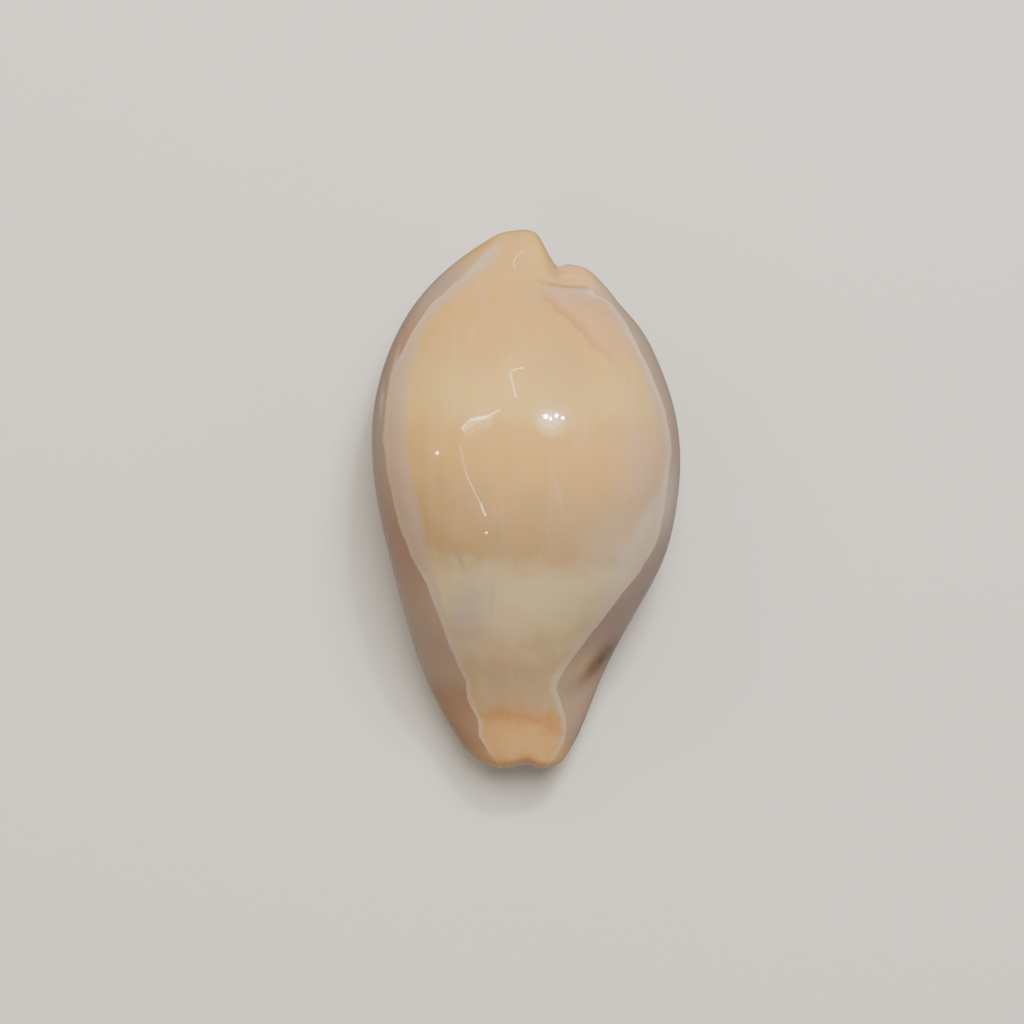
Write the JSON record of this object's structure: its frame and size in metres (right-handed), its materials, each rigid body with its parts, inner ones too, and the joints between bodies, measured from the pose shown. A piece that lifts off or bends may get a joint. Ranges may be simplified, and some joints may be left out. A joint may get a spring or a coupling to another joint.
{
  "type": "cowrie shell",
  "caption": "Glossy pear-shaped cowrie shell with a domed back, a projecting spire-end lobe and a long toothed slit in its base.",
  "frame": {"origin": "centre of the bounding box, on the plane that the shell rests on", "axes": "+Y from the narrow front end to the spire end, +X towards the columellar side, +Z from the base up to the crest of the back"},
  "size_m": [0.0228, 0.04, 0.018],
  "materials": {
    "shell": "natural porcelain gloss, pale beige with cream bands, an orange-tinted front end and a greyish lilac margin"
  },
  "bodies": {
    "root": {"shell": "shell"}
  },
  "joints": []
}
